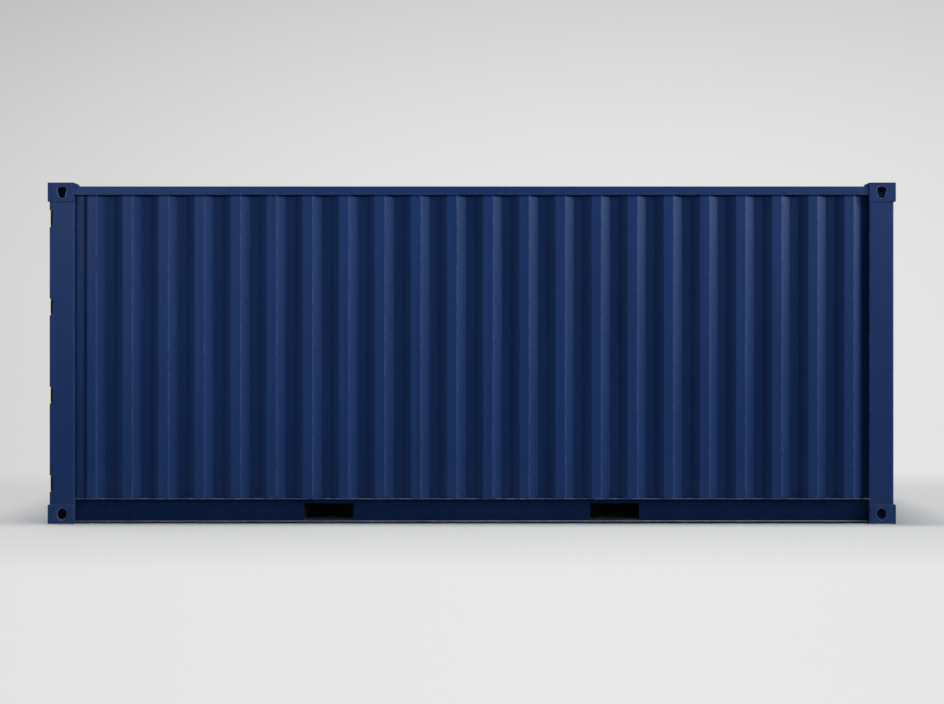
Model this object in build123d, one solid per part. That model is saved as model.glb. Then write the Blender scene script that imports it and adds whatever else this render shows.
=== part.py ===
from build123d import *
import math
import os

# A twenty foot dry freight container, eight feet wide and eight feet high.
# Millimetres. X runs along the length with the doors at the low end, the
# right side is at low Y, Z is up, and the origin is the middle of the base.

# Overall size, over the corner fittings
length = 6058
width = 2438
height = 2438

# Corner fittings
fitting_length = 188
fitting_width = 162
fitting_height = 136
fitting_plate = 28.5
fitting_end_wall = 16
fitting_side_wall = 14
fitting_inner_wall = 12
fitting_edge = 3
aperture_length = 124
aperture_width = 63.5
aperture_from_end = 102.5
aperture_from_side = 89.5
side_hole_width = 63.5
side_hole_height = 79.5
side_hole_level = 70
side_hole_corner = 20
shield_neck = 44
shield_shoulder = 30

# Frame members, set back from the faces of the corner fittings
setback = 12
underframe_clearance = 12.5
post_plate = 6
post_web = 12
rear_post_depth = 40
rear_post_recess = 66
front_post_return = 50
top_rail_size = 60
top_rail_wall = 3
top_rail_drop = 27
ramp_length = 36
ramp_drop = 2
bottom_rail_height = 167.5
bottom_rail_flange = 48
bottom_rail_wall = 4.5

# Door sill and door header
portal_recess = 62
sill_drop = 8
sill_wall = 6
sill_foot = 56
header_depth = 115
header_wall = 4
gutter_reach = 30
gutter_lip = 6
gutter_wall = 2
gutter_drop = 4

# Side walls
sheet_wall = 2
side_sheet_setback = 15
side_wave_depth = 36
side_wave_pitch = 258
side_wave_crest = 69
side_wave_slope = 62.5
side_wave_first_slope = 18
side_wave_margin = 87
side_wave_end_flat = 40

# Front wall
front_sheet_setback = 16
front_wave_depth = 45.6
front_wave_pitch = 250
front_wave_crest = 110
front_wave_slope = 18
front_wave_end_flat = 40

# Roof
roof_overlap = 42
roof_tongue = 98
trough_pitch = 209
trough_width = 118
trough_slope = 13.5
trough_depth = 20
trough_side_margin = 130
trough_end_margin = 150
corner_plate_width = 300
corner_plate_wall = 3

# Underframe and floor
beam_height = 122
beam_top_flange = 45
beam_bottom_flange = 40
beam_wall = 4
beam_spacing = 290
pocket_spacing = 2050
pocket_width = 355
pocket_height = 115
pocket_lid = 4
pocket_shoe_wall = 6
pocket_shoe = 200
floor_drop = 5
floor_thickness = 28
panel_length = 1220
floor_seam = 3
floor_edge_gap = 2

# Door leaves
leaf_gap = 8
leaf_meeting_gap = 12
leaf_thickness = 50
stile_width = 100
stile_wall = 3.2
leaf_rail_height = 150
leaf_wave_depth = 36
leaf_wave_room = 230
leaf_wave_crest = 72
leaf_wave_slope = 50
gasket_width = 26
gasket_thickness = 12
gasket_lip = 3
gasket_bead = 11
gasket_web = 7

# Hinges: pin place from the end and side faces, and the blades
pin_from_end = 26
pin_from_side = 34
pin_radius = 6.5
pin_clearance = 0.3
knuckle_radius = 12.5
knuckle_corner = 7
hinge_count = 4
hinge_inset = 107
hinge_height = 100
hinge_arm = 10
hinge_arm_offset = 3
blade_tip_gap = 4
blade_tip_height = 56
leaf_offset = 46
lug_thickness = 14
lug_clearance = 2
notch_depth = 22
notch_height = 120

# Locking gear
bar_radius = 17
bar_wall = 4
bar_standoff = 35
bar_end_gap = 6
cam_length = 60
cam_depth = 38
cam_height = 44
cam_corner = 8
keeper_gap = 6
keeper_wall = 10
keeper_recess = 18
keeper_height = 70
sill_keeper_base = 34
header_keeper_drop = 13
guide_count = 4
guide_height = 40
guide_foot = 70
guide_wall = 5
guide_end_inset = 75
handle_rise = 970
handle_height = 32
handle_thickness = 12
handle_overrun = 45
handle_crank = 60
handle_crank_slope = 40
hub_width = 44
hub_reach = 26
hub_height = 50
catch_gap = 3
catch_wall = 5
catch_width = 50
latch_wall = 4
latch_width = 30

# Places worked out from the sizes above
end_x = length / 2
side_y = width / 2
frame_x = end_x - fitting_length
fitting_y = side_y - fitting_width
top_rail_top = height - top_rail_drop
top_rail_bottom = top_rail_top - top_rail_size
bottom_rail_top = underframe_clearance + bottom_rail_height
web_y = side_y - setback - bottom_rail_flange
post_inner_y = side_y - setback - rear_post_depth
beam_top = bottom_rail_top - floor_drop - floor_thickness
pocket_top = beam_top - pocket_lid
pocket_bottom = pocket_top - pocket_height
post_bottom = fitting_height
post_top = height - fitting_height
sill_top = bottom_rail_top - sill_drop
header_bottom = top_rail_top - header_depth
portal_x = -end_x + portal_recess
pin_x = -end_x + pin_from_end
pin_y = -side_y + pin_from_side
leaf_face_x = pin_x + leaf_offset
leaf_edge_y = -post_inner_y + leaf_gap
leaf_middle_y = -leaf_meeting_gap / 2
leaf_bottom = sill_top + leaf_gap
leaf_top = header_bottom - leaf_gap
panel_low_y = leaf_edge_y + stile_width
panel_high_y = leaf_middle_y - stile_width

# Waves and rows counted from the room they have
side_wave_room = 2 * frame_x - side_wave_margin - side_wave_crest - side_wave_slope - side_wave_end_flat
side_wave_count = 1 + int(side_wave_room / side_wave_pitch)
front_wave_room = 2 * (fitting_y - front_wave_slope - front_wave_end_flat) - front_wave_crest
front_wave_count = 1 + int(front_wave_room / front_wave_pitch)
trough_count = 1 + int((2 * (frame_x - trough_end_margin) - trough_width) / trough_pitch)
leaf_wave_count = int((panel_high_y - panel_low_y) / leaf_wave_room)
leaf_wave_pitch = (panel_high_y - panel_low_y) / leaf_wave_count
leaf_crests = [panel_low_y + (wave + 0.5) * leaf_wave_pitch for wave in range(leaf_wave_count)]
hinge_pitch = (leaf_top - leaf_bottom - 2 * hinge_inset) / (hinge_count - 1)
hinge_levels = [leaf_bottom + hinge_inset + row * hinge_pitch for row in range(hinge_count)]

# Locking gear: one bar on a crest, one on the stile, each with its catch on the next crest
bar_x = leaf_face_x - bar_standoff
bar_bottom = sill_keeper_base + keeper_wall + bar_end_gap
header_keeper_top = top_rail_top - header_keeper_drop
bar_top = header_keeper_top - keeper_wall - bar_end_gap
outer_crest = leaf_wave_count // 2
outer_bar_y = leaf_crests[outer_crest]
inner_bar_y = leaf_middle_y - stile_width / 2
handle_places = ((outer_bar_y, leaf_crests[outer_crest - 1]), (inner_bar_y, leaf_crests[-1]))
handle_level = leaf_bottom + handle_rise
handle_x = bar_x - handle_thickness / 2
guide_pitch = (leaf_top - leaf_bottom - 2 * guide_end_inset) / (guide_count - 1)
guide_levels = [leaf_bottom + guide_end_inset + row * guide_pitch for row in range(guide_count)]


def block(x, y, z):
    """A box between the two values of each pair."""
    low = [min(pair) for pair in (x, y, z)]
    high = [max(pair) for pair in (x, y, z)]
    size = [b - a for a, b in zip(low, high)]
    middle = [(a + b) / 2 for a, b in zip(low, high)]
    return Pos(*middle) * Box(*size)


def folded(points, thickness, side):
    """The section of a sheet folded along these points."""
    fold = Polyline(*points)
    return make_face(offset(fold, thickness, kind=Kind.INTERSECTION, side=side).edges())


def upright(section, bottom, top):
    """A plan section drawn up from one level to another."""
    return extrude(Pos(0, 0, bottom) * section, amount=top - bottom)


def lengthwise(section, start, end):
    """A section drawn in Y and Z, run along X."""
    return extrude(Plane.YZ.offset(start) * section, amount=end - start)


def crosswise(section, half):
    """A section drawn in X and Z, run along Y to both sides."""
    return extrude(Plane.XZ * section, amount=half, both=True)


def to_left(shape):
    """The same piece on the other side of the container."""
    return mirror(shape, about=Plane.XZ)


def to_front(shape):
    """The same piece at the other end of the container."""
    return mirror(shape, about=Plane.YZ)


def oval_hole():
    """The upright oval in the side of a bottom fitting."""
    return chamfer(Rectangle(side_hole_width, side_hole_height).vertices(), side_hole_corner)


def shield_hole():
    """The hole of a top fitting, wide at its shoulders and narrow at its foot."""
    wide = side_hole_width / 2
    high = side_hole_height / 2
    neck = shield_neck / 2
    corner = side_hole_corner / 2
    right = [
        (wide - corner, high),
        (wide, high - corner),
        (wide, high - shield_shoulder),
        (neck, corner - high),
        (neck - corner, -high),
    ]
    left = [(-x, y) for x, y in reversed(right)]
    return make_face(Polyline(*right, *left, close=True))


def corner_fitting(hole):
    """A hollow casting in its own corner, its long slot facing down."""
    body = block((0, fitting_length), (0, fitting_width), (0, fitting_height))
    body = chamfer(body.edges().sort_by_distance((0, 0, 0))[:3], fitting_edge)
    hollow = block(
        (fitting_end_wall, fitting_length - fitting_inner_wall),
        (fitting_side_wall, fitting_width - fitting_inner_wall),
        (fitting_plate, fitting_height - fitting_inner_wall),
    )
    slot = Pos(aperture_from_end, aperture_from_side) * SlotOverall(aperture_length, aperture_width)
    side = extrude(Plane.XZ * Pos(aperture_from_end, side_hole_level) * hole, amount=-fitting_side_wall)
    end = extrude(Plane.YZ * Pos(aperture_from_side, side_hole_level) * hole, amount=fitting_end_wall)
    return body - hollow - extrude(slot, amount=fitting_plate) - side - end


def corner_fittings():
    """The eight castings by node name."""
    corner = Pos(-end_x, -side_y, 0)
    low = corner * corner_fitting(oval_hole())
    upside_down = mirror(corner_fitting(mirror(shield_hole(), about=Plane.XZ)), about=Plane.XY)
    high = corner * Pos(0, 0, height) * upside_down
    pieces = {}
    for level, fitting in (("bottom", low), ("top", high)):
        pieces[f"{level}_rear_right_fitting"] = fitting
        pieces[f"{level}_rear_left_fitting"] = to_left(fitting)
        pieces[f"{level}_front_right_fitting"] = to_front(fitting)
        pieces[f"{level}_front_left_fitting"] = to_front(to_left(fitting))
    return pieces


def rear_post():
    """Box section with a lip to the rear that guards the hinges, cut away at each of them."""
    face_y = -side_y + setback
    inner_y = -post_inner_y
    back_x = -end_x + setback + rear_post_recess
    box = block((back_x, -frame_x), (face_y, inner_y), (post_bottom, post_top))
    hollow = block(
        (back_x + post_web, -frame_x - post_plate),
        (face_y + post_plate, inner_y - post_web),
        (post_bottom, post_top),
    )
    lip = block((-end_x + setback, back_x), (face_y, face_y + post_plate), (post_bottom, post_top))
    notches = [
        block(
            (-end_x + setback, -end_x + setback + notch_depth),
            (face_y, face_y + post_plate),
            (level - notch_height / 2, level + notch_height / 2),
        )
        for level in hinge_levels
    ]
    return box - hollow + lip - notches


def front_post():
    """A pressed section wrapped round the corner and open to the inside."""
    face_x = end_x - setback
    face_y = -side_y + setback
    inner_y = -fitting_y
    section = folded(
        [
            (frame_x, -post_inner_y),
            (frame_x, face_y),
            (face_x, face_y),
            (face_x, inner_y),
            (face_x - front_post_return, inner_y),
        ],
        post_plate,
        Side.LEFT,
    )
    return upright(section, post_bottom, post_top)


def top_side_rail():
    """Square tube between the top fittings, with a ramp up to each of them."""
    tube = Rectangle(top_rail_size, top_rail_size)
    bore = top_rail_size - 2 * top_rail_wall
    tube -= Rectangle(bore, bore)
    middle_y = -side_y + setback + top_rail_size / 2
    middle_z = top_rail_top - top_rail_size / 2
    rail = lengthwise(Pos(middle_y, middle_z) * tube, -frame_x, frame_x)
    slope = make_face(
        Polyline(
            (-frame_x, top_rail_top),
            (-frame_x + ramp_length, top_rail_top),
            (-frame_x, height - ramp_drop),
            close=True,
        )
    )
    ramp = Pos(0, -side_y + setback + roof_overlap / 2, 0) * crosswise(slope, roof_overlap / 2)
    return rail + ramp + to_front(ramp)


def pocket_opening():
    """The two fork pocket openings, cut right across the underframe."""
    return [
        block(
            (x - pocket_width / 2, x + pocket_width / 2),
            (-side_y, side_y),
            (pocket_bottom, pocket_top),
        )
        for x in (-pocket_spacing / 2, pocket_spacing / 2)
    ]


def bottom_side_rail():
    """Channel with its flanges outward and the fork pockets through its web."""
    section = folded(
        [
            (-web_y - bottom_rail_flange, underframe_clearance),
            (-web_y, underframe_clearance),
            (-web_y, bottom_rail_top),
            (-web_y - bottom_rail_flange, bottom_rail_top),
        ],
        bottom_rail_wall,
        Side.LEFT,
    )
    return lengthwise(section, -frame_x, frame_x) - pocket_opening()


def fitting_corners(low, high):
    """The room that the fittings of one level take."""
    return [
        block((end * frame_x, end * end_x), (side * fitting_y, side * side_y), (low, high))
        for end in (-1, 1)
        for side in (-1, 1)
    ]


def door_sill():
    """Folded sill under the doors, between the rear posts and fittings."""
    section = folded(
        [
            (portal_x + sill_foot, underframe_clearance),
            (portal_x, underframe_clearance),
            (portal_x, sill_top),
            (-frame_x, sill_top),
        ],
        sill_wall,
        Side.RIGHT,
    )
    return crosswise(section, post_inner_y) - fitting_corners(0, fitting_height)


def door_header():
    """Box section over the doors with a rain gutter on it, between the rear posts and fittings."""
    box = block((portal_x, -frame_x), (-post_inner_y, post_inner_y), (header_bottom, top_rail_top))
    hollow = block(
        (portal_x + header_wall, -frame_x - header_wall),
        (-post_inner_y, post_inner_y),
        (header_bottom + header_wall, top_rail_top - header_wall),
    )
    gutter_top = top_rail_top - gutter_drop
    gutter = folded(
        [
            (portal_x, gutter_top),
            (portal_x - gutter_reach, gutter_top),
            (portal_x - gutter_reach, gutter_top - gutter_lip),
        ],
        gutter_wall,
        Side.LEFT,
    )
    header = box - hollow + crosswise(gutter, fitting_y)
    return header - fitting_corners(height - fitting_height, height)


def front_sill():
    """Channel under the front wall."""
    face_x = end_x - front_sheet_setback
    inner_x = face_x - bottom_rail_flange
    section = folded(
        [
            (inner_x, underframe_clearance),
            (face_x, underframe_clearance),
            (face_x, bottom_rail_top),
            (inner_x, bottom_rail_top),
        ],
        bottom_rail_wall,
        Side.LEFT,
    )
    return crosswise(section, fitting_y)


def front_header():
    """Square tube over the front wall."""
    tube = Rectangle(top_rail_size, top_rail_size)
    bore = top_rail_size - 2 * top_rail_wall
    tube -= Rectangle(bore, bore)
    middle_x = end_x - setback - top_rail_size / 2
    middle_z = top_rail_top - top_rail_size / 2
    return crosswise(Pos(middle_x, middle_z) * tube, fitting_y)


def side_wall():
    """Trapezium corrugations, upright, from rear post to front post."""
    crest_y = -side_y + side_sheet_setback
    valley_y = crest_y + side_wave_depth - sheet_wall
    points = [(-frame_x, valley_y)]
    for wave in range(side_wave_count):
        start = -frame_x + side_wave_margin + wave * side_wave_pitch
        rise = side_wave_slope if wave else side_wave_first_slope
        end = start + side_wave_crest
        points += [
            (start - rise, valley_y),
            (start, crest_y),
            (end, crest_y),
            (end + side_wave_slope, valley_y),
        ]
    points.append((frame_x, valley_y))
    return upright(folded(points, sheet_wall, Side.LEFT), bottom_rail_top, top_rail_bottom)


def front_wall():
    """Deeper corrugations across the closed end."""
    crest_x = end_x - front_sheet_setback
    valley_x = crest_x - front_wave_depth + sheet_wall
    waves = (front_wave_count - 1) * front_wave_pitch + front_wave_crest
    points = [(valley_x, -fitting_y)]
    for wave in range(front_wave_count):
        start = -waves / 2 + wave * front_wave_pitch
        end = start + front_wave_crest
        points += [
            (valley_x, start - front_wave_slope),
            (crest_x, start),
            (crest_x, end),
            (valley_x, end + front_wave_slope),
        ]
    points.append((valley_x, fitting_y))
    return upright(folded(points, sheet_wall, Side.LEFT), bottom_rail_top, top_rail_bottom)


def roof():
    """A sheet on the rails with pressed troughs across it and a plate on each corner."""
    roof_top = top_rail_top + sheet_wall
    edge_y = side_y - setback - roof_overlap
    rear_x = -frame_x - roof_tongue
    front_x = end_x - setback - top_rail_size + roof_overlap
    sheet = block((-frame_x, frame_x), (-edge_y, edge_y), (top_rail_top, roof_top))
    sheet += block((rear_x, front_x), (-fitting_y, fitting_y), (top_rail_top, roof_top))
    for end, tip_x in ((-1, rear_x), (1, front_x)):
        for side in (-1, 1):
            sheet += block(
                (end * (frame_x - trough_end_margin), tip_x),
                (side * (fitting_y - corner_plate_width), side * fitting_y),
                (roof_top, roof_top + corner_plate_wall),
            )
    angle = math.degrees(math.atan2(trough_slope, trough_depth))
    mitre = sheet_wall * math.tan(math.radians(90 - angle) / 2)
    trough_length = width - 2 * trough_side_margin
    shells = []
    hollows = []
    for number in range(trough_count):
        x = (number - (trough_count - 1) / 2) * trough_pitch
        wide = Rectangle(trough_width + 2 * mitre, trough_length + 2 * mitre)
        shells.append(extrude(Pos(x, 0, top_rail_top) * wide, amount=-trough_depth, taper=angle))
        narrow = Rectangle(trough_width, trough_length)
        hollows.append(extrude(Pos(x, 0, roof_top) * narrow, amount=-trough_depth, taper=angle))
    return sheet + shells - hollows


def beam(x, facing):
    """One underframe channel, its web at x and its flanges to one side."""
    bottom = beam_top - beam_height
    section = folded(
        [
            (x + facing * beam_bottom_flange, bottom),
            (x, bottom),
            (x, beam_top),
            (x + facing * beam_top_flange, beam_top),
        ],
        beam_wall,
        Side.RIGHT if facing > 0 else Side.LEFT,
    )
    return crosswise(section, web_y)


def middle_beams():
    """The cross members between the fork pockets."""
    half = (pocket_spacing - pocket_width) / 2 - beam_wall
    bays = math.ceil(2 * half / beam_spacing)
    return Compound([beam(-half + bay * 2 * half / bays, 1) for bay in range(1, bays)])


def end_beams():
    """The cross members from a fork pocket to the rear sill."""
    start = (pocket_spacing + pocket_width) / 2 + beam_wall
    bays = math.ceil((frame_x - start) / beam_spacing)
    pitch = (frame_x - start) / bays
    return Compound([beam(-start - bay * pitch, 1) for bay in range(1, bays + 1)])


def fork_pocket(x):
    """Two channels back to back with a plate over them and shoes under their ends."""
    half = pocket_width / 2
    tunnel = beam(x - half, -1) + beam(x + half, 1)
    tunnel += block((x - half, x + half), (-web_y, web_y), (pocket_top, beam_top))
    for end in (-1, 1):
        tunnel += block(
            (x - half, x + half),
            (end * web_y, end * (web_y - pocket_shoe)),
            (pocket_bottom - pocket_shoe_wall, pocket_bottom),
        )
    return tunnel


def floor():
    """Plywood panels in two columns on the cross members."""
    half = web_y - floor_edge_gap
    start = -frame_x
    end = end_x - front_sheet_setback - bottom_rail_flange
    rows = math.ceil((end - start) / panel_length)
    pitch = (end - start) / rows
    levels = (beam_top, beam_top + floor_thickness)
    panels = []
    for row in range(rows):
        x = (start + row * pitch, start + (row + 1) * pitch - floor_seam)
        panels.append(block(x, (-half, -floor_seam / 2), levels))
        panels.append(block(x, (floor_seam / 2, half), levels))
    return Compound(panels)


def knuckle():
    """The eight-sided plan of a hinge's knuckle and of its lugs' noses."""
    square = Rectangle(2 * knuckle_radius, 2 * knuckle_radius)
    return Pos(pin_x, pin_y) * chamfer(square.vertices(), knuckle_corner)


def hinge_lugs():
    """A pair of lugs and a pin on the rear post at each hinge."""
    back_x = -end_x + setback + rear_post_recess
    arm = Rectangle(back_x - pin_x, 2 * knuckle_radius)
    plan = knuckle() + Pos((pin_x + back_x) / 2, pin_y) * arm
    inner = hinge_height / 2 + lug_clearance
    outer = inner + lug_thickness
    pin = upright(Pos(pin_x, pin_y) * Circle(pin_radius), -inner, inner)
    pair = pin + upright(plan, inner, outer) + upright(plan, -outer, -inner)
    return Compound([Pos(0, 0, level) * pair for level in hinge_levels])


def hinge_blades():
    """Cranked blades that turn on the pins and lie on the leaf's outer stile."""
    half = hinge_height / 2
    arm_y = pin_y + hinge_arm_offset - hinge_arm
    tip_y = panel_low_y - blade_tip_gap
    plan = knuckle()
    plan += make_face(
        Polyline(
            (pin_x, arm_y),
            (leaf_face_x, arm_y),
            (leaf_face_x, tip_y),
            (leaf_face_x - hinge_arm, tip_y),
            (leaf_face_x - hinge_arm, pin_y + hinge_arm_offset),
            (pin_x, pin_y + hinge_arm_offset),
            close=True,
        )
    )
    plan -= Pos(pin_x, pin_y) * Circle(pin_radius + pin_clearance)
    side = make_face(
        Polyline(
            (pin_y - knuckle_radius, -half),
            (leaf_edge_y, -half),
            (tip_y, -blade_tip_height / 2),
            (tip_y, blade_tip_height / 2),
            (leaf_edge_y, half),
            (pin_y - knuckle_radius, half),
            close=True,
        )
    )
    blade = upright(plan, -half, half)
    blade &= lengthwise(side, pin_x - knuckle_radius, leaf_face_x)
    return Compound([Pos(0, 0, level) * blade for level in hinge_levels])


def leaf_frame():
    """Two tube stiles joined by a channel at top and bottom."""
    middle_x = leaf_face_x + leaf_thickness / 2
    tube = Rectangle(leaf_thickness, stile_width)
    tube -= Rectangle(leaf_thickness - 2 * stile_wall, stile_width - 2 * stile_wall)
    frame = upright(Pos(middle_x, leaf_edge_y + stile_width / 2) * tube, leaf_bottom, leaf_top)
    frame += upright(Pos(middle_x, leaf_middle_y - stile_width / 2) * tube, leaf_bottom, leaf_top)
    half = (panel_high_y - panel_low_y) / 2
    for low in (leaf_bottom, leaf_top - leaf_rail_height):
        high = low + leaf_rail_height
        section = folded(
            [
                (leaf_face_x + leaf_thickness, low),
                (leaf_face_x, low),
                (leaf_face_x, high),
                (leaf_face_x + leaf_thickness, high),
            ],
            stile_wall,
            Side.RIGHT,
        )
        frame += Pos(0, (panel_high_y + panel_low_y) / 2, 0) * crosswise(section, half)
    return frame


def leaf_panel():
    """Upright corrugations inside the leaf's frame."""
    valley_x = leaf_face_x + leaf_wave_depth - sheet_wall
    points = [(valley_x, panel_low_y)]
    for middle in leaf_crests:
        start = middle - leaf_wave_crest / 2
        end = middle + leaf_wave_crest / 2
        points += [
            (valley_x, start - leaf_wave_slope),
            (leaf_face_x, start),
            (leaf_face_x, end),
            (valley_x, end + leaf_wave_slope),
        ]
    points.append((valley_x, panel_high_y))
    section = folded(points, sheet_wall, Side.RIGHT)
    return upright(section, leaf_bottom + leaf_rail_height, leaf_top - leaf_rail_height)


def leaf_gasket():
    """A rubber seal round the inner face of the leaf, a flat web with a bead along its outer edge."""
    back_x = leaf_face_x + leaf_thickness
    low_y = leaf_edge_y - gasket_lip
    low_z = leaf_bottom - gasket_lip
    high_z = leaf_top + gasket_lip
    seal = None
    for wide, thick in ((gasket_width, gasket_web), (gasket_bead, gasket_thickness)):
        x = (back_x, back_x + thick)
        ring = block(x, (low_y, leaf_middle_y), (low_z, high_z))
        ring -= block(x, (low_y + wide, leaf_middle_y - wide), (low_z + wide, high_z - wide))
        seal = ring if seal is None else seal + ring
    return seal


def handle(y, catch_y):
    """A flat bar cranked towards its catch, with a block that joins it to the locking bar."""
    hub_x = bar_x - hub_reach
    section = folded(
        [
            (hub_x, y),
            (hub_x, y - handle_crank),
            (handle_x, y - handle_crank - handle_crank_slope),
            (handle_x, catch_y - handle_overrun),
        ],
        handle_thickness,
        Side.LEFT,
    )
    hub = block(
        (hub_x, bar_x),
        (y - hub_width / 2, y + hub_width / 2),
        (handle_level - hub_height / 2, handle_level + hub_height / 2),
    )
    return hub + upright(section, handle_level - handle_height / 2, handle_level + handle_height / 2)


def locking_bars():
    """Two tubes with a cam at each end and a handle."""
    cam = chamfer(Rectangle(cam_depth, cam_length).vertices(), cam_corner)
    bars = []
    for y, catch_y in handle_places:
        axis = Pos(bar_x, y)
        bar = upright(axis * Circle(bar_radius), bar_bottom, bar_top)
        bar += upright(axis * cam, bar_bottom, bar_bottom + cam_height)
        bar += upright(axis * cam, bar_top - cam_height, bar_top)
        bar += handle(y, catch_y)
        bar -= upright(axis * Circle(bar_radius - bar_wall), bar_bottom + cam_height, bar_top - cam_height)
        bars.append(bar)
    return Compound(bars)


def bar_guide():
    """A strap bent round three sides of a locking bar, with a foot on either side."""
    reach = bar_radius + pin_clearance
    bend = reach * math.tan(math.radians(22.5))
    near = [(leaf_face_x, guide_foot / 2), (leaf_face_x, reach)]
    far = [(bar_x - bend, reach), (bar_x - reach, bend)]
    half = near + far
    return folded(half + [(x, -y) for x, y in reversed(half)], guide_wall, Side.RIGHT)


def handle_catch():
    """A channel that takes the end of a handle, with a latch across its mouth."""
    mouth_x = handle_x - catch_gap - latch_wall
    outer = handle_height / 2 + catch_gap + catch_wall
    section = folded(
        [(mouth_x, -outer), (leaf_face_x, -outer), (leaf_face_x, outer), (mouth_x, outer)],
        catch_wall,
        Side.LEFT,
    )
    latch = block((mouth_x, mouth_x + latch_wall), (-latch_width / 2, latch_width / 2), (-outer, outer))
    return crosswise(section, catch_width / 2) + latch


def bar_brackets():
    """The guides that hold the bars to the leaf, and a catch for each handle."""
    pieces = []
    for y, catch_y in handle_places:
        for level in guide_levels:
            guide = upright(bar_guide(), level - guide_height / 2, level + guide_height / 2)
            pieces.append(Pos(0, y, 0) * guide)
        pieces.append(Pos(0, catch_y, handle_level) * handle_catch())
    return Compound(pieces)


def keepers(base, room_low, room_high):
    """Cups on the sill or header that the cams stand in, open between two heights over their base."""
    gap = cam_length / 2 + keeper_gap
    outer = gap + keeper_wall
    x = (-end_x + keeper_recess, portal_x)
    cups = []
    for y in (outer_bar_y, inner_bar_y, -inner_bar_y, -outer_bar_y):
        cup = block(x, (y - outer, y + outer), (base, base + keeper_height))
        cups.append(cup - block(x, (y - gap, y + gap), (base + room_low, base + room_high)))
    return Compound(cups)


def leaf(side, place):
    """The pieces of one door leaf by node name."""
    return {
        f"{side}_door_frame": place(leaf_frame()),
        f"{side}_door_panel": place(leaf_panel()),
        f"{side}_door_gasket": place(leaf_gasket()),
        f"{side}_door_hinges": place(hinge_blades()),
        f"{side}_door_locking_bars": place(locking_bars()),
        f"{side}_door_bar_brackets": place(bar_brackets()),
    }


def container():
    """Every piece by node name."""
    half_pocket = pocket_spacing / 2
    pieces = corner_fittings()
    pieces |= {
        "rear_right_post": rear_post(),
        "rear_left_post": to_left(rear_post()),
        "front_right_post": front_post(),
        "front_left_post": to_left(front_post()),
        "right_top_rail": top_side_rail(),
        "left_top_rail": to_left(top_side_rail()),
        "right_bottom_rail": bottom_side_rail(),
        "left_bottom_rail": to_left(bottom_side_rail()),
        "door_sill": door_sill(),
        "door_header": door_header(),
        "front_sill": front_sill(),
        "front_header": front_header(),
        "right_side_wall": side_wall(),
        "left_side_wall": to_left(side_wall()),
        "front_wall": front_wall(),
        "roof": roof(),
        "rear_cross_members": end_beams(),
        "middle_cross_members": middle_beams(),
        "front_cross_members": to_front(end_beams()),
        "fork_pockets": Compound([fork_pocket(-half_pocket), fork_pocket(half_pocket)]),
        "floor": floor(),
        "right_hinge_lugs": hinge_lugs(),
        "left_hinge_lugs": to_left(hinge_lugs()),
        "sill_keepers": keepers(sill_keeper_base, keeper_wall, keeper_height),
        "header_keepers": keepers(header_keeper_top - keeper_height, 0, keeper_height - keeper_wall),
    }
    pieces |= leaf("right", lambda shape: shape)
    pieces |= leaf("left", to_left)
    return pieces


os.makedirs("parts", exist_ok=True)
for name, piece in container().items():
    export_step(piece, f"parts/{name}.step")
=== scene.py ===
"""Looks of a twenty foot freight container: painted steel, zinc plated door gear, rubber seals and a plywood floor."""

import math

import bmesh
import bpy
from mathutils import Matrix, Vector


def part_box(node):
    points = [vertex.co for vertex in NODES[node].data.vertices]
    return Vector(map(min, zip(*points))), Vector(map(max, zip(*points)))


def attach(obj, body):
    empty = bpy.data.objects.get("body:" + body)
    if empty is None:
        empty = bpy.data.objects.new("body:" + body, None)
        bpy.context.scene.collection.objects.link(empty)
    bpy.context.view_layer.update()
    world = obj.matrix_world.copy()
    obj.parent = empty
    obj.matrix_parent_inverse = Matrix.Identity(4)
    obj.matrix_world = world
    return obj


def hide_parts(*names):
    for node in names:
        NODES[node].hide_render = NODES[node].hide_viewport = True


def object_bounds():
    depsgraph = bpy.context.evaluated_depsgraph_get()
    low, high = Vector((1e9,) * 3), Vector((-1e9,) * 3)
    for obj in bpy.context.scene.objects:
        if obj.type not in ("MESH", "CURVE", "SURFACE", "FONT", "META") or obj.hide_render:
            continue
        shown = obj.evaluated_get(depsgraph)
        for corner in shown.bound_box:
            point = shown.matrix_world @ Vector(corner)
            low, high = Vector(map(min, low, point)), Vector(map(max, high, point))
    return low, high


bl_info = {
    "name": "Freight container",
    "version": (1, 0, 0),
    "blender": (4, 5, 0),
    "location": "View3D > Sidebar > Container",
    "description": "Finishes the steel, door gear, seals and floor of a freight container",
    "category": "Object",
}

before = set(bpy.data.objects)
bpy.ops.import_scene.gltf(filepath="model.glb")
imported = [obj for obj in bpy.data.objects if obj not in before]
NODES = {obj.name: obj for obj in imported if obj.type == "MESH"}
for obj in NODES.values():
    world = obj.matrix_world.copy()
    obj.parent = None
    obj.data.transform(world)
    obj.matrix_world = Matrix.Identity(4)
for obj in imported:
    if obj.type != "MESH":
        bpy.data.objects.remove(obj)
CAD_LOW, CAD_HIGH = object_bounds()
HOME = "container_box"

# The sides with their way along Y, and the nodes of the cross members
SIDES = {"right": -1, "left": 1}
BEAM_ROWS = ("rear_cross_members", "middle_cross_members", "front_cross_members")

# Thicknesses of sheets and plates
SHEET = 0.002
POST_PLATE = 0.006
TUBE_WALL = 0.003
CHANNEL_PLATE = 0.0045
THIN_PLATE = 0.004
DOOR_TUBE = 0.0032
GUIDE_PLATE = 0.005

# From crest to valley: side and door sheets, front sheet, bottom rail
WAVE_DEPTH = 0.034
FRONT_WAVE_DEPTH = 0.044
CHANNEL_DEPTH = 0.035

# From the container's side in to the valleys of its sheet
WALL_INSET = 0.050

# Widths and painted shade of the wall's strips by the posts and under the top rail, where a valley's painted shade is
# 1; the front strip holds the front post's painted shadow and the rail strip the top rail's painted shadow
END_STRIP = 0.06
REAR_STRIP_SHADE = 0.1
FRONT_STRIP_SHADE = 1.7
RAIL_STRIP = 0.012
RAIL_STRIP_SHADE = 1.8

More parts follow.
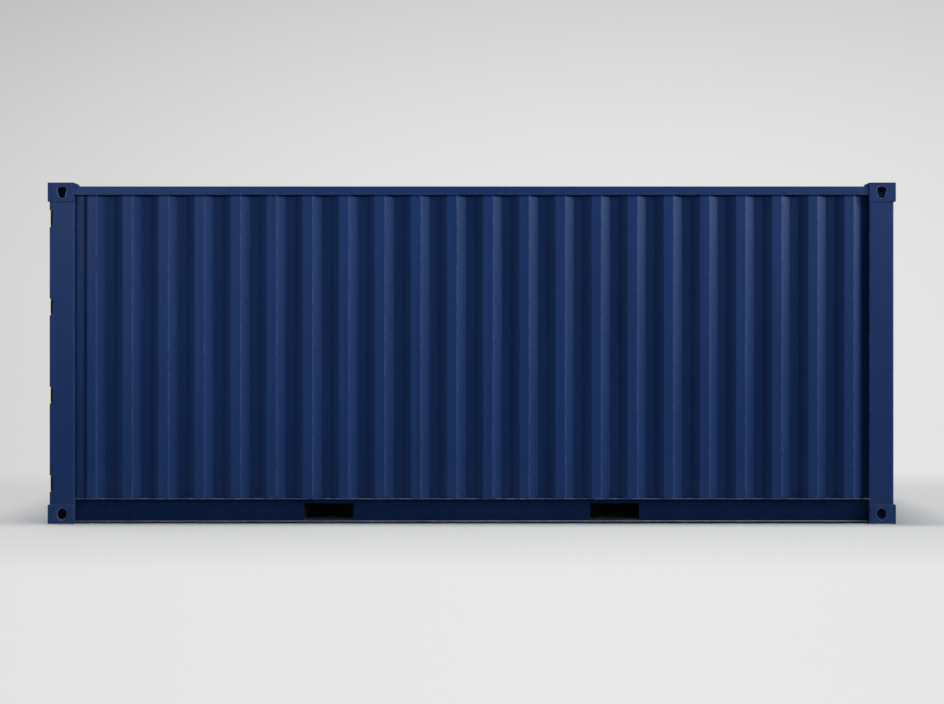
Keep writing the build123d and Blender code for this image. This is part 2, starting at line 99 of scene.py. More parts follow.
# From the container's middle to the middles of the castings' apertures
APERTURE_X = 2.9265
APERTURE_Y = 1.1295

# The hinge pin from the door end, its knuckle, and the bolts from the blades' outer end
PIN_INSET = 0.026
KNUCKLE_RADIUS = 0.013
KNUCKLE_CORNER = 0.0046
BLADE_BOLTS = (0.066, 0.106)

# A seal's web behind its outer face, and its rivets
SEAL_WEB = 0.007
RIVET_INSET = 0.019
RIVET_RADIUS = 0.0045

# The rear post's web from the door end
POST_WEB = 0.066

RING_RADIUS = 0.026
RING_BAR = 0.005

# Faces that turn less than this are shaded smooth
SMOOTH_ANGLE = 38.0

# The photograph's width, its pixels per millimetre and the container's middle in it
PHOTO_WIDTH = 944
PHOTO_SCALE = 0.14006
PHOTO_MIDDLE = 471.75

MIDDLE = (CAD_LOW + CAD_HIGH) / 2

# The lamps: where they stand, power, place, aim, size, spread in degrees
LAMPS = {
    "key": ("far to the right", 200, (12.5, -6.2, 5.2), (-1.5, -1.2, 2.8), (6.0, 3.0), 60),
    "left": ("in front on the left", 28, (-6.5, -11.5, 5.0), (-2.6, -1.2, 2.6), (3.0, 3.0), 42),
    "right": ("in front on the right", 46, (6.5, -11.5, 5.0), (1.8, -1.2, 3.2), (3.0, 3.0), 70),
    "front": ("above the camera", 28, (0.0, -14.0, 6.5), MIDDLE, (6.0, 3.0), 180),
    "top": ("overhead", 25, (0.0, -2.2, 6.8), (0, -0.8, 0), (8.0, 4.0), 180),
    "back": ("behind the container", 260, (-5.0, 11.0, 6.0), MIDDLE, (5.0, 4.0), 180),
    "door": ("beyond the door end", 48, (-11.0, 5.5, 4.0), (-3.0, 0.2, 1.7), (4.0, 3.0), 55),
}

WHITE = (1, 1, 1, 1)

# The sockets of shader groups that hold colours
COLOURED = ("Colour", "Paint", "Worn Colour", "Dust Colour", "Zinc")


# Settings


def kind_of_setting(kind, most=1, **common):
    """A function that makes settings of one kind."""

    def make(name, description, default, high=most, low=0):
        return kind(name=name, description=description, default=default, min=low, max=high, **common)

    return make


colour = kind_of_setting(bpy.props.FloatVectorProperty, size=3, subtype="COLOR")
share = kind_of_setting(bpy.props.FloatProperty, subtype="FACTOR")
length = kind_of_setting(bpy.props.FloatProperty, unit="LENGTH")
power = kind_of_setting(bpy.props.FloatProperty, 2000, unit="POWER")
count = kind_of_setting(bpy.props.IntProperty)


class PaintSettings(bpy.types.PropertyGroup):
    """Colours and sheen of the painted steel."""

    outer_colour: colour("Outer", "Colour of the outside paint", (0.0066, 0.0305, 0.1260))
    inside_colour: colour("Inside", "Colour of the paint in the cargo space", (0.42, 0.45, 0.45))
    underframe_colour: colour("Underframe", "Colour of the coating under the floor", (0.005, 0.007, 0.012))
    dust_colour: colour("Dust", "Colour of the dust", (0.21, 0.20, 0.18))
    # Also the colour of the painted highlights on rubbed edges
    worn_colour: colour("Worn", "Chalky colour of rubbed paint", (0.16, 0.21, 0.33))
    outer_roughness: share("Roughness", "Roughness of the outside paint", 0.42)
    # Strength of the painted shade in the valleys of the sheets and in the web of the bottom rails
    shelter: share("Shelter", "How much darker a wall's valleys are", 0.34)
    sheen: share("Sheen", "How much the matt paint mirrors", 0.10)
    dust: share("Dust cover", "How much dust lies on the outside", 0.10)
    wear: share("Edge wear", "How far edges are rubbed", 0.22)


class PlainFinishSettings(bpy.types.PropertyGroup):
    """Colours of what isn't painted."""

    zinc_colour: colour("Zinc", "Colour of the dipped door gear", (0.50, 0.52, 0.54))
    rubber_colour: colour("Rubber", "Colour of the door seals", (0.016, 0.016, 0.017))
    plywood_light: colour("Plywood, light", "Lighter colour of the oiled floor", (0.33, 0.175, 0.085))
    plywood_dark: colour("Plywood, dark", "Darker colour of the oiled floor", (0.150, 0.070, 0.032))


class EdgeSettings(bpy.types.PropertyGroup):
    """Bends and rounded edges."""

    sheet_bend: length("Wave bend", "Inner radius of bends in the sheets", 0.016, 0.03)
    section_bend: length("Section bend", "Inner radius of bends in posts and rails", 0.004, 0.02)
    casting_edge: length("Casting edge", "Rounding of the castings' edges", 0.0045, 0.01)
    casting_rim: length("Casting rim", "Rounding of the holes' rims", 0.006, 0.01)
    casting_hole: length("Hole corner", "Rounding of the holes' corners", 0.0082, 0.01)
    gear_edge: length("Gear edge", "Rounding of hinges and cams", 0.0012, 0.004)
    bend_steps: count("Bend steps", "Faces across a bend", 4, 8, 1)


class FastenerSettings(bpy.types.PropertyGroup):
    """Bolts, screws, rivets, welds and lashing rings."""

    bolt_width: length("Bolt head", "Width of a bolt head across its flats", 0.016, 0.04, 0.006)
    bolt_height: length("Bolt head height", "Height of a bolt head", 0.006, 0.02, 0.002)
    screw_width: length("Floor screw", "Width of a floor screw's head", 0.013, 0.03, 0.005)
    screw_spacing: length("Screw spacing", "Between floor screws along a cross member", 0.19, 0.5, 0.05)
    rivet_spacing: length("Rivet spacing", "Between the rivets of the door seals", 0.16, 0.5, 0.05)
    weld_radius: length("Weld bead", "Radius of the weld beads round the castings", 0.0032, 0.01, 0.001)
    ring_count: count("Lashing rings", "Rings along each side of the floor", 5, 12, 2)


class StudioSettings(bpy.types.PropertyGroup):
    """Camera, lamps, floor and background."""

    camera_distance: length("Camera distance", "From the camera to the container's near side", 11.0, 60, 2)
    camera_height: length("Camera height", "Height of the camera over the floor", 1.2275, 10)
    sky_strength: share("Room light", "Light from all round", 0.10)
    floor_colour: share("Floor", "Paleness of the floor", 0.90)
    background: share("Background", "Brightness of the background at the horizon", 0.81)


for lamp, (where, watts, *_) in LAMPS.items():
    StudioSettings.__annotations__[f"{lamp}_power"] = power(lamp.capitalize(), f"Power of the lamp {where}", watts)


def settings_of(kind, name, description):
    """A group of settings."""
    return bpy.props.PointerProperty(type=kind, name=name, description=description)


class ContainerSettings(bpy.types.PropertyGroup):
    """All the values of the container's looks."""

    paint: settings_of(PaintSettings, "Paint", "Painted steel")
    plain: settings_of(PlainFinishSettings, "Plain finishes", "Zinc, rubber and plywood")
    edges: settings_of(EdgeSettings, "Edges", "Bends and edges")
    fasteners: settings_of(FastenerSettings, "Fasteners", "Bolts and welds")
    studio: settings_of(StudioSettings, "Studio", "Camera and light")


# Shader helpers


def add_node(tree, kind, values=None, **settings):
    """A shader node with settings, and values or links on its inputs."""
    made = tree.nodes.new("ShaderNode" + kind)
    for name, value in settings.items():
        setattr(made, name, value)
    for name, value in (values or {}).items():
        if isinstance(value, bpy.types.NodeSocket):
            tree.links.new(value, made.inputs[name])
        else:
            made.inputs[name].default_value = value
    return made


def maths(tree, operation, first, second=0.0, third=0.0, clamp=False):
    """The output of one Math node."""
    values = {0: first, 1: second, 2: third}
    return add_node(tree, "Math", values, operation=operation, use_clamp=clamp).outputs[0]


def times(tree, first, second, clamp=False):
    """The product of two values."""
    return maths(tree, "MULTIPLY", first, second, clamp=clamp)


def total(tree, first, *others):
    """The sum of several values."""
    for other in others:
        first = maths(tree, "ADD", first, other)
    return first


def spread(tree, value, low, high, to_low=0.0, to_high=1.0):
    """A value brought from one range to another."""
    values = {"Value": value, "From Min": low, "From Max": high, "To Min": to_low, "To Max": to_high}
    return add_node(tree, "MapRange", values).outputs["Result"]


def blend_colours(tree, part, first, second):
    """Two colours mixed, by the second one's part."""
    return add_node(tree, "Mix", {0: part, 6: first, 7: second}, data_type="RGBA", clamp_factor=True).outputs[2]


def scale_colour(tree, tone, factor):
    """A colour made darker or lighter."""
    return add_node(tree, "VectorMath", {0: tone, "Scale": factor}, operation="SCALE").outputs[0]


def along(tree, vector, axis):
    """One part of a vector."""
    return add_node(tree, "SeparateXYZ", {"Vector": vector}).outputs[axis]


def object_place(tree):
    """The shaded point in the object's own space."""
    return add_node(tree, "TexCoord").outputs["Object"]


def noise(tree, place, scale, detail=3.0, roughness=0.5, stretch=None):
    """Noise, stretched along an axis where asked."""
    if stretch:
        place = add_node(tree, "Mapping", {"Vector": place, "Scale": stretch}).outputs[0]
    values = {"Vector": place, "Scale": scale, "Detail": detail, "Roughness": roughness}
    return add_node(tree, "TexNoise", values).outputs["Fac"]


def new_group(name, inputs, outputs):
    """An empty shader group with its sockets."""
    tree = bpy.data.node_groups.new(name, "ShaderNodeTree")
    for way, labels in (("INPUT", inputs), ("OUTPUT", outputs)):
        for label in labels:
            kind = "NodeSocketColor" if label in COLOURED else "NodeSocketFloat"
            tree.interface.new_socket(name=label, in_out=way, socket_type=kind)
    return tree, tree.nodes.new("NodeGroupInput").outputs, tree.nodes.new("NodeGroupOutput").inputs


def weathered_paint_group():
    """Sprayed paint: colour drift, rain streaks, dust, a fine orange peel, rubbed edges that also paint highlights, and
    painted shade in the valleys that also lowers the sheen there.
    """
    inputs = (*COLOURED[1:4], "Roughness", "Dust", "Drift", "Wear", "Edge", "Hollow", "Shelter", "Sheen")
    tree, given, gives = new_group("Weathered paint", inputs, ("Colour", "Roughness", "Sheen", "Height"))
    place = object_place(tree)
    height = along(tree, place, "Z")
    up = along(tree, add_node(tree, "NewGeometry").outputs["Normal"], "Z")

    broad = noise(tree, place, 0.9, 4.0)
    streaks = noise(tree, place, 9.0, 3.0, 0.6, (1.0, 1.0, 0.09))
    mottle = noise(tree, place, 34.0, 5.0, 0.62)
    runs = noise(tree, place, 75.0, 2.0, 0.5, (1.0, 1.0, 0.012))
    drift = total(
        tree,
        spread(tree, broad, 0.3, 0.7, -0.5, 0.5),
        spread(tree, streaks, 0.32, 0.68, -0.4, 0.4),
        spread(tree, mottle, 0.3, 0.7, -0.22, 0.22),
        spread(tree, runs, 0.3, 0.7, -0.55, 0.55),
    )
    shade = maths(tree, "MULTIPLY_ADD", drift, given["Drift"], 1.0)
    # Painted shade: the paint is darkened by how deep a point lies in a valley
    painted_shading = times(tree, given["Hollow"], given["Shelter"])
    shade = times(tree, shade, maths(tree, "SUBTRACT", 1.0, painted_shading))

    on_top = spread(tree, up, 0.25, 0.9)
    near_ground = spread(tree, height, 0.0, 0.42, 1.0, 0.0)
    cover = total(tree, times(tree, on_top, 2.2), times(tree, near_ground, 0.45), times(tree, streaks, 0.35))
    cover = times(tree, cover, spread(tree, mottle, 0.35, 0.72, 0.35, 1.0))
    cover = times(tree, cover, given["Dust"], clamp=True)
    dusty = blend_colours(tree, cover, scale_colour(tree, given["Paint"], shade), given["Dust Colour"])

    # Rubbed paint on marked edges, lighter and chalky; where the finish rubs it strongly it is a painted highlight
    rub_and_highlight = spread(tree, noise(tree, place, 22.0, 6.0, 0.7), 0.36, 0.60)
    rub_and_highlight = times(tree, rub_and_highlight, times(tree, given["Edge"], given["Wear"]), clamp=True)
    tree.links.new(blend_colours(tree, rub_and_highlight, dusty, given["Worn Colour"]), gives["Colour"])

    # The painted shade also lowers the sheen in the valleys
    sheen_kept_in_shade = maths(tree, "SUBTRACT", 1.0, times(tree, painted_shading, 1.8), clamp=True)
    tree.links.new(times(tree, given["Sheen"], sheen_kept_in_shade), gives["Sheen"])

    rough = total(tree, given["Roughness"], spread(tree, mottle, 0.3, 0.7, -0.05, 0.06))
    rough = maths(tree, "MULTIPLY_ADD", cover, 0.35, rough)
    tree.links.new(maths(tree, "MULTIPLY_ADD", on_top, 0.32, rough, clamp=True), gives["Roughness"])

    peel = noise(tree, place, 420.0, 2.0)
    ripple = noise(tree, place, 26.0, 2.0)
    tree.links.new(maths(tree, "MULTIPLY_ADD", ripple, 3.0, peel), gives["Height"])


def spangle_group():
    """Dipped zinc: soft crystals of slightly different tone."""
    tree, given, gives = new_group("Zinc spangle", ("Zinc", "Roughness"), ("Colour", "Roughness", "Height"))
    place = object_place(tree)
    cells = add_node(tree, "TexVoronoi", {"Vector": place, "Scale": 110.0, "Randomness": 1.0})
    tone = add_node(tree, "SeparateColor", {"Color": cells.outputs["Color"]}).outputs["Red"]
    cloud = noise(tree, place, 14.0, 4.0, 0.6)
    shade = total(tree, spread(tree, tone, 0, 1, 0.86, 1.06), spread(tree, cloud, 0.3, 0.7, -0.16, 0.08))
    tree.links.new(scale_colour(tree, given["Zinc"], shade), gives["Colour"])
    rough = total(tree, given["Roughness"], spread(tree, tone, 0, 1, -0.07, 0.08))
    tree.links.new(maths(tree, "ADD", rough, spread(tree, cloud, 0.3, 0.7, 0.0, 0.1), clamp=True), gives["Roughness"])
    tree.links.new(noise(tree, place, 160.0, 3.0), gives["Height"])


def new_material(name, **plain):
    """A material, its node tree and its shader, with plain values set."""
    material = bpy.data.materials.new(name)
    material.use_nodes = True
    shader = material.node_tree.nodes["Principled BSDF"]
    for label, value in plain.items():
        shader.inputs[label.replace("_", " ")].default_value = value
    return material, material.node_tree, shader


def dress(material, shader, tone, roughness, height, depth):
    """The material with a colour, a roughness and a bump of a depth in metres."""
    tree = material.node_tree
    raised = add_node(tree, "Bump", {"Height": height, "Distance": depth, "Strength": 1.0}).outputs[0]
    for label, output in (("Base Color", tone), ("Roughness", roughness), ("Normal", raised)):
        tree.links.new(output, shader.inputs[label])
    return material


def painted(name, tone, roughness, dust, drift, wear, depth=0.00012, shelter=0.0):
    """A painted steel material."""
    settings = bpy.context.scene.container.paint
    material, tree, shader = new_material(name, Specular_IOR_Level=settings.sheen)
    values = {
        "Paint": (*tone, 1),
        "Dust Colour": (*settings.dust_colour, 1),
        "Worn Colour": (*settings.worn_colour, 1),
        "Roughness": roughness, "Dust": dust, "Drift": drift, "Wear": wear,
        "Edge": add_node(tree, "Attribute", attribute_name="rubbed_edge").outputs["Fac"],
        "Hollow": add_node(tree, "Attribute", attribute_name="hollow").outputs["Fac"],
        "Shelter": shelter,
        "Sheen": settings.sheen,
    }
    coat = add_node(tree, "Group", values, node_tree=bpy.data.node_groups["Weathered paint"]).outputs
    # With painted shade, the sheen is lowered in the shaded valleys too
    if shelter:
        tree.links.new(coat["Sheen"], shader.inputs["Specular IOR Level"])
    return dress(material, shader, coat["Colour"], coat["Roughness"], coat["Height"], depth)


def zinc_material():
    """Zinc from a dip, dull and spangled."""
    material, tree, shader = new_material("Dipped zinc", Metallic=0.85)
    values = {"Zinc": (*bpy.context.scene.container.plain.zinc_colour, 1), "Roughness": 0.46}
    metal = add_node(tree, "Group", values, node_tree=bpy.data.node_groups["Zinc spangle"]).outputs
    return dress(material, shader, metal["Colour"], metal["Roughness"], metal["Height"], 0.00015)


def rubber_material():
    """Matt black rubber with a little chalky bloom."""
    material, tree, shader = new_material("Seal rubber")
    place = object_place(tree)
    bloom = noise(tree, place, 30.0, 5.0, 0.65)
    base = (*bpy.context.scene.container.plain.rubber_colour, 1)
    tone = blend_colours(tree, spread(tree, bloom, 0.45, 0.75, 0.0, 0.35), base, (0.075, 0.075, 0.073, 1))
    rough = spread(tree, bloom, 0.3, 0.7, 0.62, 0.82)
    return dress(material, shader, tone, rough, noise(tree, place, 300.0, 2.0), 0.0001)


def plywood_material():
    """Oiled plywood: grain along the container, clouds of tone, scuffs from cargo."""
    settings = bpy.context.scene.container.plain
    material, tree, shader = new_material("Oiled plywood")
    place = object_place(tree)
    grain = noise(tree, place, 26.0, 7.0, 0.62, (0.07, 1.0, 1.0))
    pores = noise(tree, place, 210.0, 3.0, 0.6, (0.05, 1.0, 1.0))
    cloud = noise(tree, place, 1.4, 4.0)
    light = maths(tree, "ADD", spread(tree, grain, 0.32, 0.68), spread(tree, cloud, 0.3, 0.7, -0.25, 0.25), clamp=True)
    tone = blend_colours(tree, light, (*settings.plywood_dark, 1), (*settings.plywood_light, 1))
    tone = blend_colours(tree, spread(tree, pores, 0.55, 0.75, 0.0, 0.7), tone, (0.05, 0.022, 0.01, 1))
    scuff = noise(tree, place, 7.0, 6.0, 0.72, (0.25, 1.0, 1.0))
    tone = blend_colours(tree, spread(tree, scuff, 0.56, 0.7, 0.0, 0.28), tone, (0.36, 0.31, 0.25, 1))
    rough = spread(tree, scuff, 0.35, 0.7, 0.42, 0.72)
    return dress(material, shader, tone, rough, total(tree, grain, pores), 0.0003)


def make_materials():
    """Every finish of the container by name."""
    paint = bpy.context.scene.container.paint
    outer, rough, dust, wear, shelter = paint.outer_colour, paint.outer_roughness, paint.dust, paint.wear, paint.shelter
    weathered_paint_group()
    spangle_group()
    return {
        # Finishes given a shade strength darken the valleys of their sheets with painted shade
        "outer": painted("Outer paint", outer, rough, dust, 0.10, wear, shelter=shelter),
        # The wall paint's rubbed marks are painted highlights on the folds that face the key lamp
        "wall": painted("Wall paint", outer, rough, dust, 0.10, 0.18, shelter=shelter),
        # The rail paint's stronger painted shade darkens the recessed web, and its heavy rubbing paints highlights on
        # the lips
        "rail": painted("Rail paint", outer, rough, dust * 0.5, 0.10, 0.95, shelter=shelter * 1.6),
        # The castings' heavy rubbing paints highlights on their edges and hole rims, besides real worn paint
        "casting": painted("Casting paint", outer, rough + 0.06, dust * 1.3, 0.16, wear * 2.8, 0.0004),
        "inside": painted("Inside paint", paint.inside_colour, 0.5, dust * 0.6, 0.06, wear * 0.6),
        "underframe": painted("Underframe coating", paint.underframe_colour, 0.68, dust * 0.4, 0.25, 0.05, 0.0004),
        "zinc": zinc_material(),
        "rubber": rubber_material(),
        "plywood": plywood_material(),
    }


FINISHES = {}


# Mesh helpers


def cut(mesh, place, normal):
    """Divides the faces along a plane."""
    geometry = mesh.verts[:] + mesh.edges[:] + mesh.faces[:]
    return bmesh.ops.bisect_plane(mesh, geom=geometry, dist=0.0004, plane_co=place, plane_no=normal)


def clean_copy(node, seams=()):
    """A CAD node's bmesh with its triangles merged into flat faces, divided at seams."""
    mesh = bmesh.new()
    mesh.from_mesh(NODES[node].data)
    for layer in list(mesh.loops.layers.uv):
        mesh.loops.layers.uv.remove(layer)
    bmesh.ops.remove_doubles(mesh, verts=mesh.verts, dist=0.00001)
    for place, normal in seams:
        for piece in cut(mesh, place, normal)["geom_cut"]:
            if isinstance(piece, bmesh.types.BMEdge):
                piece.seam = True
    bmesh.ops.dissolve_limit(mesh, angle_limit=math.radians(0.8), verts=mesh.verts, edges=mesh.edges, delimit={"SEAM"})
    mesh.loops.layers.float.new("rubbed_edge")
    return mesh


def faces_where(mesh, test):
    """The faces whose normal and middle pass a test."""
    return [face for face in mesh.faces if test(face.normal, face.calc_center_median())]


def store(mesh, name, faces, value):
    """Stores one value on all corners of faces."""
    layer = mesh.loops.layers.float[name]
    for face in faces:
        for loop in face.loops:
            loop[layer] = value


def paint_second(mesh, test):
    """Gives the second finish to the faces that pass a test."""
    for face in faces_where(mesh, test):
        face.material_index = 1


def mark_valley_shade(mesh, outward, depth):
    """Stores how deep each point lies below a sheet's crests, from 0 to 1, as the strength of the painted shade in its
    valleys.
    """
    layer = mesh.loops.layers.float.new("hollow")
    crest = max(vert.co.dot(outward) for vert in mesh.verts)
    for face in mesh.faces:
        for loop in face.loops:
            loop[layer] = min((crest - loop.vert.co.dot(outward)) / depth, 1.0)


def round_edges(mesh, edges, offset, segments):
    """Bevels edges and marks the new faces of convex ones as rubbed; on some finishes the rubbed colour is a painted
    highlight.
    """
    edges = [edge for edge in edges if edge.is_valid]
    if not edges or offset <= 0:
        return
    convex = edges[0].is_convex
    made = bmesh.ops.bevel(
        mesh, geom=edges, offset=offset, offset_type="OFFSET", affect="EDGES", segments=segments, profile=0.5,
        material=-1, clamp_overlap=True,
    )
    if convex:
        store(mesh, "rubbed_edge", made["faces"], 1.0)


def folds(mesh, least, most=181):
    """Edges whose faces turn by an angle between two limits in degrees."""
    low, high = math.radians(least), math.radians(most)
    return [edge for edge in mesh.edges if len(edge.link_faces) == 2 and low < edge.calc_face_angle(0.0) < high]


def sharp_edges(mesh, least, most=181):
    """The folds that stick out."""
    return [edge for edge in folds(mesh, least, most) if edge.is_convex]


def bend_sheet(mesh, wall, radius, segments, hollow_too=True, below=math.inf):
    """Rounds the folds of a sheet, on the outside by the inner radius and the wall."""
    cut_edge = {face for face in mesh.faces if 2 * face.calc_area() <= face.calc_perimeter() * wall * 1.25}
    sizes = {}
    for edge in folds(mesh, 12):
        wanted = (edge.is_convex or hollow_too) and max(vert.co.z for vert in edge.verts) < below
        if wanted and cut_edge.isdisjoint(edge.link_faces):
            reach = radius + wall if edge.is_convex else radius
            offset = round(reach * math.tan(edge.calc_face_angle(0.0) / 2), 5)
            sizes.setdefault((offset, edge.is_convex), []).append(edge)
    for (offset, convex), edges in sorted(sizes.items(), reverse=True):
        round_edges(mesh, edges, offset, segments)
    bmesh.ops.dissolve_degenerate(mesh, dist=0.00002, edges=mesh.edges)
    bmesh.ops.connect_verts_concave(mesh, faces=mesh.faces[:])


def evenly(low, high, number):
    """Places from low to high in equal steps."""
    return [low + (high - low) * step / number for step in range(number + 1)]


def rounded_copy(node, offset, segments=2):
    """A clean copy with its sharp outer edges rounded."""
    mesh = clean_copy(node)
    round_edges(mesh, sharp_edges(mesh, 40), offset, segments)
    return mesh


def upright_share(edge):
    """How upright an edge runs, from 0 to 1."""
    return abs((edge.verts[1].co - edge.verts[0].co).normalized().z)


def add_cone(mesh, matrix, segments, foot, tip, depth):
    """A capped stub of a cone."""
    bmesh.ops.create_cone(mesh, cap_ends=True, segments=segments, radius1=foot, radius2=tip, depth=depth, matrix=matrix)


def add_bolt(mesh, place, width, height):
    """A hexagon head on a washer, pointing out of the doors."""
    outward = Matrix.Translation(place) @ Matrix.Rotation(math.radians(-90), 4, "Y")
    add_cone(mesh, outward @ Matrix.Translation((0, 0, 0.0010)), 16, width * 0.78, width * 0.74, 0.0024)
    add_cone(mesh, outward @ Matrix.Translation((0, 0, 0.002 + height / 2)), 6, width * 0.577, width * 0.55, height)


def new_object(name, data):
    """An object in the scene that holds the data."""
    made = bpy.data.objects.new(name, data)
    bpy.context.scene.collection.objects.link(made)
    return made


def finish(mesh, name, finishes, node=None, body=HOME):
    """Makes a piece from its bmesh, in place of a CAD node where one is named."""
    data = bpy.data.meshes.new(name)
    mesh.to_mesh(data)
    mesh.free()
    kinds = finishes.split()
    for kind in kinds:
        data.materials.append(FINISHES[kind])
    data.polygons.foreach_set("use_smooth", [True] * len(data.polygons))
    data.set_sharp_from_angle(angle=math.radians(SMOOTH_ANGLE))
    piece = new_object(name, data)
    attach(piece, body)
    if node:
        piece.modifiers.new("Even shading", "WEIGHTED_NORMAL").keep_sharp = True
        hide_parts(node)


# Wall sheets and roof


class CONTAINER_OT_wall_sheets(bpy.types.Operator):
    """Bends the corrugated sheets of the sides and the front, and paints both faces"""

    bl_idname = "container.wall_sheets"
    bl_label = "Wall sheets"

    def execute(self, context):
        edges = context.scene.container.edges
        for side, sign in SIDES.items():
            node = f"{side}_side_wall"
            low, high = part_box(node)
            mesh = clean_copy(node)
            bend_sheet(mesh, SHEET, edges.sheet_bend, edges.bend_steps)
            # Painted shade in the valleys of the corrugation
            mark_valley_shade(mesh, Vector((0, sign, 0)), WAVE_DEPTH)
            # A painted shadow under the top rail, along the top of the sheet
            rail_z = high.z - RAIL_STRIP
            cut(mesh, (0, 0, rail_z), (0, 0, 1))
            store(mesh, "hollow", faces_where(mesh, lambda normal, at: at.z > rail_z), RAIL_STRIP_SHADE)
            # Rubbed marks stay only on the bends that face the key lamp on the right: a painted highlight along the lit
            # folds
            store(mesh, "rubbed_edge", faces_where(mesh, lambda normal, at: normal.x < 0.03), 0.0)
            # Painted shade on the strips beside the posts: lighter by the rear post, the front post's painted shadow by
            # the front one
            for end_x, shade in ((low.x, REAR_STRIP_SHADE), (high.x, FRONT_STRIP_SHADE)):
                store(mesh, "hollow", faces_where(mesh, lambda normal, at: abs(at.x - end_x) < END_STRIP), shade)
            paint_second(mesh, lambda normal, at: -normal.y * sign > 0.1)
            finish(mesh, f"{node}_sheet", "wall inside", node)
        mesh = clean_copy("front_wall")
        bend_sheet(mesh, SHEET, edges.sheet_bend * 0.4, edges.bend_steps)
        # Painted shade in the valleys of the corrugation
        mark_valley_shade(mesh, Vector((1, 0, 0)), FRONT_WAVE_DEPTH)
        paint_second(mesh, lambda normal, at: normal.x < -0.1)
        finish(mesh, "front_wall_sheet", "outer inside", "front_wall")
        return {"FINISHED"}


class CONTAINER_OT_roof(bpy.types.Operator):
    """Softens the pressed troughs of the roof and paints its underside"""

    bl_idname = "container.roof"
    bl_label = "Roof"

    def execute(self, context):
        mesh = clean_copy("roof")
        bend_sheet(mesh, SHEET, radius=0.004, segments=2)
        paint_second(mesh, lambda normal, at: normal.z < -0.1)
        finish(mesh, "roof_sheet", "outer inside", "roof")
        return {"FINISHED"}


# Frame


def steel(node, wall, inside=None, seam=None, heavy=False, channel=None):
    """One member, bent from plate or welded up from heavier plates."""
    edges = bpy.context.scene.container.edges
    mesh = clean_copy(node)
    if heavy:
        bend_sheet(mesh, wall, 0.0, edges.bend_steps, hollow_too=False)
    else:
        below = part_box("front_header")[1].z + 0.001
        bend_sheet(mesh, wall, edges.section_bend, edges.bend_steps, node != "door_header", below)
    if channel:
        # The bottom rail's recessed web gets painted shade, the shadow of its top lip, and its lips are marked rubbed,
        # which paints their highlight
        lip = max(vert.co.dot(channel) for vert in mesh.verts) - CHANNEL_DEPTH
        mark_valley_shade(mesh, channel, CHANNEL_DEPTH)
        lips = faces_where(mesh, lambda normal, at: at.dot(channel) > lip and normal.z > -0.3)
        store(mesh, "rubbed_edge", lips, 1.0)
    if seam:
        cut(mesh, *seam)
    if inside:
        paint_second(mesh, inside)
    finish(mesh, f"{node}_steel", "rail inside" if channel else "outer inside", node)


class CONTAINER_OT_frame_members(bpy.types.Operator):
    """Bends the posts, rails, sills and headers"""

    bl_idname = "container.frame_members"
    bl_label = "Posts and rails"

    def execute(self, context):
        wall_y = CAD_HIGH.y - WALL_INSET
        wall_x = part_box("front_wall")[0].x
        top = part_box("front_header")[1].z
        for side, sign in SIDES.items():
            steel(f"rear_{side}_post", POST_PLATE, heavy=True)
            low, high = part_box(f"front_{side}_post")
            middle = (low + high) / 2

            def inside_post(normal, at):
                return abs(normal.z) < 0.5 and normal.dot(middle - at) > 0 and (middle - at).xy.length > 0.01

            def inside_rail(normal, at):
                return at.y * sign < wall_y and at.z < top and normal.z < 0.5 and abs(normal.x) < 0.5

            def inside_flange(normal, at):
                return at.y * sign < wall_y and normal.z > 0.5

            seam = ((0, sign * wall_y, 0), (0, 1, 0))
            steel(f"front_{side}_post", POST_PLATE, inside_post)
            steel(f"{side}_top_rail", TUBE_WALL, inside_rail, seam)
            steel(f"{side}_bottom_rail", CHANNEL_PLATE, inside_flange, seam, channel=Vector((0, sign, 0)))
        steel("door_sill", POST_PLATE)
        inner_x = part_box("door_header")[1].x - 0.001
        steel("door_header", THIN_PLATE, lambda normal, at: normal.x > 0.5 and at.x > inner_x)
        seam = ((wall_x, 0, 0), (1, 0, 0))
        steel("front_sill", CHANNEL_PLATE, lambda normal, at: at.x < wall_x and normal.z > 0.5, seam)
        steel("front_header", TUBE_WALL, lambda normal, at: at.x < wall_x and normal.z < 0.5, seam)
        return {"FINISHED"}


def is_rim(edge, low, high):
    """Whether an edge is the outer rim of a side or end hole."""
    middle = (edge.verts[0].co + edge.verts[1].co) / 2
    inset = min(middle.x - low.x, high.x - middle.x), min(middle.y - low.y, high.y - middle.y)
    return min(inset) < 0.001 and max(inset) > 0.02 and min(middle.z - low.z, high.z - middle.z) > 0.015


class CONTAINER_OT_castings(bpy.types.Operator):
    """Rounds the holes and edges of the eight corner castings"""

    bl_idname = "container.castings"
    bl_label = "Corner castings"

    def execute(self, context):
        edges = context.scene.container.edges
        for node in sorted(NODES):
            if not node.endswith("_fitting"):
                continue
            low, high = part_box(node)
            middle = Vector((math.copysign(APERTURE_X, low.x), math.copysign(APERTURE_Y, low.y), 0))
            mesh = clean_copy(node, [(middle, (1, 0, 0)), (middle, (0, 1, 0))])
            corners = [edge for edge in folds(mesh, 15) if not edge.is_convex and edge.calc_length() < 0.02]
            wide = [edge for edge in corners if node.startswith("top") and upright_share(edge) < 0.1]
            above = [edge for edge in wide if high.z - edge.verts[0].co.z < 0.05]
            round_edges(mesh, above, edges.casting_hole * 2.6, 6)
            round_edges(mesh, [edge for edge in wide if edge not in above], edges.casting_hole * 1.7, 5)
            round_edges(mesh, [edge for edge in corners if edge not in wide], edges.casting_hole, 4)
            bmesh.ops.dissolve_degenerate(mesh, dist=0.0003, edges=mesh.edges)
            # The rounded rims and edges are marked rubbed; with the castings' heavy rubbing this paints a light ring of
            # highlight on the rims
            rims = [edge for edge in sharp_edges(mesh, 30) if is_rim(edge, low, high)]
            round_edges(mesh, rims, edges.casting_rim, 3)
            round_edges(mesh, sharp_edges(mesh, 60), edges.casting_edge, 3)
            finish(mesh, node.replace("_fitting", "_casting"), "casting", node)
        return {"FINISHED"}


